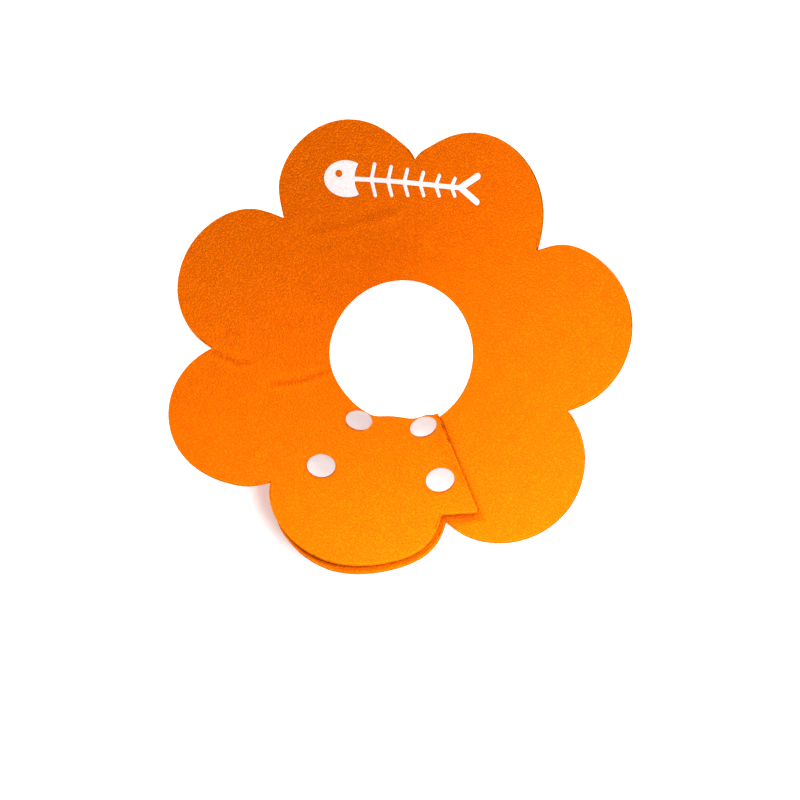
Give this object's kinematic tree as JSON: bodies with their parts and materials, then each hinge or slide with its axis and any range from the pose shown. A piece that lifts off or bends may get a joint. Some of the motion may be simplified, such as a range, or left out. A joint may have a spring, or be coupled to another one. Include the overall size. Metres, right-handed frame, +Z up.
{
  "type": "elizabethan collar",
  "caption": "Soft felt recovery collar shaped like a flower: petals rise in a shallow bowl round the neck opening, and the overlapping ends close with plastic snaps.",
  "frame": {"origin": "on the neck opening's axis, at the plane that the neck rim rests on", "axes": "+Z up out of the bowl, along the neck axis; -Y towards the closure; +X to the right when the closure is nearest"},
  "size_m": [0.2117, 0.2046, 0.058],
  "materials": {
    "felt": "matte short-pile felt",
    "snap_cap": "satin moulded plastic",
    "snap_inner": "satin moulded plastic",
    "motif_print": "matte transfer print"
  },
  "bodies": {
    "collar": {"felt_ring": "felt", "printed_motif": "motif_print"},
    "upper_end": {"felt_flap": "felt", "upper_cap_neck_left": "snap_cap", "upper_cap_neck_right": "snap_cap", "upper_cap_rim_left": "snap_cap", "upper_cap_rim_right": "snap_cap", "socket_neck_left": "snap_inner", "socket_neck_right": "snap_inner", "socket_rim_left": "snap_inner", "socket_rim_right": "snap_inner"},
    "lower_end": {"felt_under_petal": "felt", "stud_neck_left": "snap_inner", "stud_neck_right": "snap_inner", "stud_rim_left": "snap_inner", "stud_rim_right": "snap_inner", "lower_cap_neck_left": "snap_cap", "lower_cap_neck_right": "snap_cap", "lower_cap_rim_left": "snap_cap", "lower_cap_rim_right": "snap_cap"}
  },
  "joints": [
    {"name": "upper_end_lift", "type": "hinge", "parent": "collar", "child": "upper_end", "pos_m": [-0.03811, -0.05223, 0.02452], "axis": [-0.5264, -0.7214, 0.45], "range_deg": [0, 80]},
    {"name": "lower_end_fold", "type": "hinge", "parent": "collar", "child": "lower_end", "pos_m": [0.0261, -0.02744, -0.0005], "axis": [0.6379, -0.6708, 0.3784], "range_deg": [0, 40], "stiffness_Nm_per_rad": 0.12, "springref_deg": -8.59}
  ]
}
